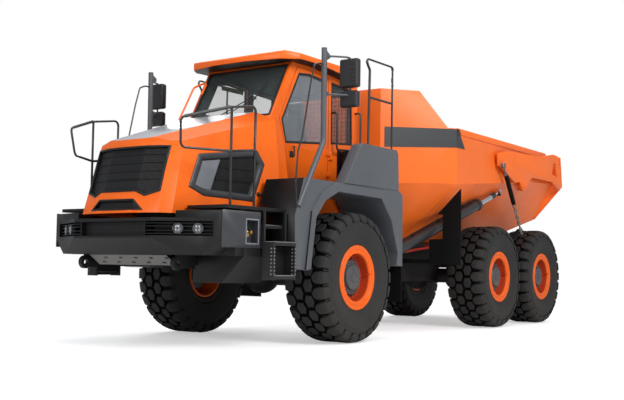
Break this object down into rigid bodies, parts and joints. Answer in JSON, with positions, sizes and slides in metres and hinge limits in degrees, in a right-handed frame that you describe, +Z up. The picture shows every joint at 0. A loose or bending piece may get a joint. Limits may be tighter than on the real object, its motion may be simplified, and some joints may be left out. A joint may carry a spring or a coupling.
{
  "type": "articulated dump truck",
  "caption": "Articulated dump truck with a tipping V-shaped body, an overhead tailgate, a centre hitch that steers and rolls, a tilting bonnet and an opening cab door.",
  "frame": {"origin": "centre of the overall box, on the ground", "axes": "+X forwards along the truck, +Y to its left, +Z up"},
  "size_m": [9.7, 3.46, 3.6728],
  "materials": {
    "body_orange": "gloss",
    "dark_grey_paint": "satin",
    "frame_grey": "satin",
    "black_steel": "satin",
    "cylinder_chrome": "polished",
    "tyre_rubber": "matt",
    "rubber": "matt",
    "glass": "clear",
    "seat_fabric": "matt",
    "plastic": "matt",
    "lamp_plastic": "gloss",
    "lamp_red": "gloss",
    "cast": "rough"
  },
  "bodies": {
    "front_chassis": {"front_frame": "frame_grey", "steering_yoke": "frame_grey", "axle_front": "frame_grey", "engine_block": "cast", "bumper": "dark_grey_paint", "head_lamps": "lamp_plastic", "tow_eyes": "black_steel", "side_boxes": "dark_grey_paint", "walkways": "dark_grey_paint", "access_steps": "dark_grey_paint", "fender_left": "dark_grey_paint", "fender_right": "dark_grey_paint", "mudflaps": "rubber", "cab_shell": "body_orange", "cab_roof": "body_orange", "cab_glass": "glass", "operator_seat": "seat_fabric", "steering_console": "plastic", "handrails": "black_steel", "mirrors": "black_steel"},
    "hitch": {"hitch": "frame_grey"},
    "rear_chassis": {"rear_frame": "frame_grey", "axle_mid": "frame_grey", "axle_rear": "frame_grey", "walking_beams": "frame_grey", "mudguards": "rubber", "tail_lamps": "lamp_red"},
    "bed": {"dump_bed": "body_orange"},
    "tailgate": {"tailgate": "body_orange"},
    "gate_chains": {"gate_chain_left": "black_steel", "gate_chain_right": "black_steel"},
    "bonnet": {"bonnet": "body_orange", "bonnet_grilles": "black_steel"},
    "door": {"cab_door": "body_orange", "door_glass": "glass"},
    "hoist_barrel_left": {"hoist_barrel_left": "dark_grey_paint"},
    "hoist_rod_left": {"hoist_rod_left": "cylinder_chrome"},
    "steer_barrel_left": {"steer_barrel_left": "dark_grey_paint"},
    "steer_rod_left": {"steer_rod_left": "cylinder_chrome"},
    "hoist_barrel_right": {"hoist_barrel_right": "dark_grey_paint"},
    "hoist_rod_right": {"hoist_rod_right": "cylinder_chrome"},
    "steer_barrel_right": {"steer_barrel_right": "dark_grey_paint"},
    "steer_rod_right": {"steer_rod_right": "cylinder_chrome"},
    "wheel_front_left": {"tyre_front_left": "tyre_rubber", "rim_front_left": "body_orange"},
    "wheel_front_right": {"tyre_front_right": "tyre_rubber", "rim_front_right": "body_orange"},
    "wheel_mid_left": {"tyre_mid_left": "tyre_rubber", "rim_mid_left": "body_orange"},
    "wheel_mid_right": {"tyre_mid_right": "tyre_rubber", "rim_mid_right": "body_orange"},
    "wheel_rear_left": {"tyre_rear_left": "tyre_rubber", "rim_rear_left": "body_orange"},
    "wheel_rear_right": {"tyre_rear_right": "tyre_rubber", "rim_rear_right": "body_orange"}
  },
  "joints": [
    {"name": "steer", "type": "hinge", "parent": "front_chassis", "child": "hitch", "pos_m": [0.65, 0, 0.94], "axis": [0, 0, 1], "range_deg": [-45, 45]},
    {"name": "frame_roll", "type": "hinge", "parent": "hitch", "child": "rear_chassis", "pos_m": [0.25, 0, 0.94], "axis": [-1, 0, 0], "range_deg": [-15, 15]},
    {"name": "bed_tip", "type": "hinge", "parent": "rear_chassis", "child": "bed", "pos_m": [-4.25, 0, 1.27], "axis": [0, -1, 0], "range_deg": [0, 70]},
    {"name": "gate_swing", "type": "hinge", "parent": "bed", "child": "tailgate", "pos_m": [-3.016, 0, 2.333], "axis": [0, 1, 0], "range_deg": [0, 87]},
    {"name": "chain_swing", "type": "hinge", "parent": "rear_chassis", "child": "gate_chains", "pos_m": [-3.06, 0, 1.557], "axis": [0, -1, 0], "range_deg": [0, 76]},
    {"name": "bonnet_hinge", "type": "hinge", "parent": "front_chassis", "child": "bonnet", "pos_m": [4.79, 0, 1.462], "axis": [0, 1, 0], "range_deg": [0, 50]},
    {"name": "door_hinge", "type": "hinge", "parent": "front_chassis", "child": "door", "pos_m": [1.64, 0.708, 2.2], "axis": [0, 0, 1], "range_deg": [0, 40]},
    {"name": "hoist_swing_left", "type": "hinge", "parent": "rear_chassis", "child": "hoist_barrel_left", "pos_m": [0.19, 0.74, 1.09], "axis": [0.4503, 0.4493, 0.7716], "range_deg": [0, 6.99]},
    {"name": "hoist_slide_left", "type": "slide", "parent": "hoist_barrel_left", "child": "hoist_rod_left", "axis": [-0.8929, 0.2288, 0.3879], "range_m": [0, 2.4271]},
    {"name": "steer_swing_left", "type": "hinge", "parent": "front_chassis", "child": "steer_barrel_left", "pos_m": [1.85, 0.56, 0.84], "axis": [0, 0, 1], "range_deg": [-5, 5]},
    {"name": "steer_slide_left", "type": "slide", "parent": "steer_barrel_left", "child": "steer_rod_left", "axis": [-0.9934, -0.1144, 0], "range_m": [-0.32, 0.32]},
    {"name": "hoist_swing_right", "type": "hinge", "parent": "rear_chassis", "child": "hoist_barrel_right", "pos_m": [0.19, -0.74, 1.09], "axis": [-0.4503, 0.4493, -0.7716], "range_deg": [0, 6.99]},
    {"name": "hoist_slide_right", "type": "slide", "parent": "hoist_barrel_right", "child": "hoist_rod_right", "axis": [-0.8929, -0.2288, 0.3879], "range_m": [0, 2.4271]},
    {"name": "steer_swing_right", "type": "hinge", "parent": "front_chassis", "child": "steer_barrel_right", "pos_m": [1.85, -0.56, 0.84], "axis": [0, 0, 1], "range_deg": [-5, 5]},
    {"name": "steer_slide_right", "type": "slide", "parent": "steer_barrel_right", "child": "steer_rod_right", "axis": [-0.9934, 0.1144, 0], "range_m": [-0.32, 0.32]},
    {"name": "wheel_spin_front_left", "type": "hinge", "parent": "front_chassis", "child": "wheel_front_left", "pos_m": [2.15, 1.22, 0.805], "axis": [0, 1, 0], "continuous": true},
    {"name": "wheel_spin_front_right", "type": "hinge", "parent": "front_chassis", "child": "wheel_front_right", "pos_m": [2.15, -1.22, 0.805], "axis": [0, 1, 0], "continuous": true},
    {"name": "wheel_spin_mid_left", "type": "hinge", "parent": "rear_chassis", "child": "wheel_mid_left", "pos_m": [-2.11, 1.22, 0.805], "axis": [0, 1, 0], "continuous": true},
    {"name": "wheel_spin_mid_right", "type": "hinge", "parent": "rear_chassis", "child": "wheel_mid_right", "pos_m": [-2.11, -1.22, 0.805], "axis": [0, 1, 0], "continuous": true},
    {"name": "wheel_spin_rear_left", "type": "hinge", "parent": "rear_chassis", "child": "wheel_rear_left", "pos_m": [-3.9, 1.22, 0.805], "axis": [0, 1, 0], "continuous": true},
    {"name": "wheel_spin_rear_right", "type": "hinge", "parent": "rear_chassis", "child": "wheel_rear_right", "pos_m": [-3.9, -1.22, 0.805], "axis": [0, 1, 0], "continuous": true}
  ],
  "couplings": [
    {"joint": "gate_swing", "follows": "bed_tip", "ratio": 1.23},
    {"joint": "chain_swing", "follows": "bed_tip", "ratio": 1.074},
    {"joint": "hoist_swing_left", "follows": "bed_tip", "ratio": 0.099564},
    {"joint": "hoist_slide_left", "follows": "bed_tip", "m_per_rad": 1.9841},
    {"joint": "steer_swing_left", "follows": "steer", "ratio": 0.11018},
    {"joint": "steer_slide_left", "follows": "steer", "m_per_rad": 0.40059},
    {"joint": "hoist_swing_right", "follows": "bed_tip", "ratio": 0.099564},
    {"joint": "hoist_slide_right", "follows": "bed_tip", "m_per_rad": 1.9841},
    {"joint": "steer_swing_right", "follows": "steer", "ratio": 0.11018},
    {"joint": "steer_slide_right", "follows": "steer", "m_per_rad": -0.40059}
  ]
}
